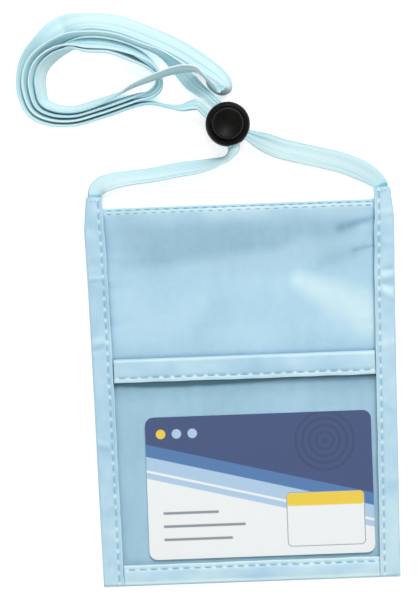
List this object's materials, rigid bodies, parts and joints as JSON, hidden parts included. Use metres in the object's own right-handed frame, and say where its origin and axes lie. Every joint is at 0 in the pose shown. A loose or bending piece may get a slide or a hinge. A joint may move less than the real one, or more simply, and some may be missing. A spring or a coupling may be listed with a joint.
{
  "type": "neck wallet",
  "caption": "Flat nylon neck wallet with bound edges, an open top pocket, a clear card window, an ID card, a long flat neck strap laid in a coil and a sprung cord lock.",
  "frame": {"origin": "centre of the wallet's outline, on the flat back that it lies on", "axes": "+Y up the wallet to its open mouth and the strap, +Z out of its front, +X to the right-hand side of its front"},
  "size_m": [0.1413, 0.218, 0.0169],
  "materials": {
    "panel_nylon": "light blue coated nylon cloth, slightly shiny",
    "binding_tape": "light blue binding tape, sewn with blue thread",
    "clear_vinyl": "clear soft vinyl with a faint blue tint",
    "woven_strap": "pale cyan flat woven tape",
    "printed_card": "printed plastic card with a satin face",
    "black_plastic": "black moulded plastic, satin",
    "spring_wire": "bare spring wire"
  },
  "bodies": {
    "wallet": {"back_panel": "panel_nylon", "front_panel": "panel_nylon", "window_sheet": "clear_vinyl", "window_binding": "binding_tape", "left_binding": "binding_tape", "right_binding": "binding_tape", "bottom_binding": "binding_tape", "strap_left_run": "woven_strap", "strap_coil": "woven_strap", "strap_right_run": "woven_strap"},
    "card": {"id_card": "printed_card"},
    "lock": {"lock_housing": "black_plastic", "lock_spring": "spring_wire"},
    "button": {"lock_button": "black_plastic"}
  },
  "joints": [
    {"name": "card_slide", "type": "slide", "parent": "wallet", "child": "card", "axis": [0, 1, 0], "range_m": [0, 0.052]},
    {"name": "lock_slide", "type": "slide", "parent": "wallet", "child": "lock", "axis": [-0.6947, 0.7193, 0], "range_m": [0, 0.003]},
    {"name": "button_press", "type": "slide", "parent": "lock", "child": "button", "axis": [0, 0, -1], "range_m": [0, 0.002], "stiffness_N_per_m": 1200, "springref_m": -0.002, "deforming": ["lock_spring"]}
  ]
}
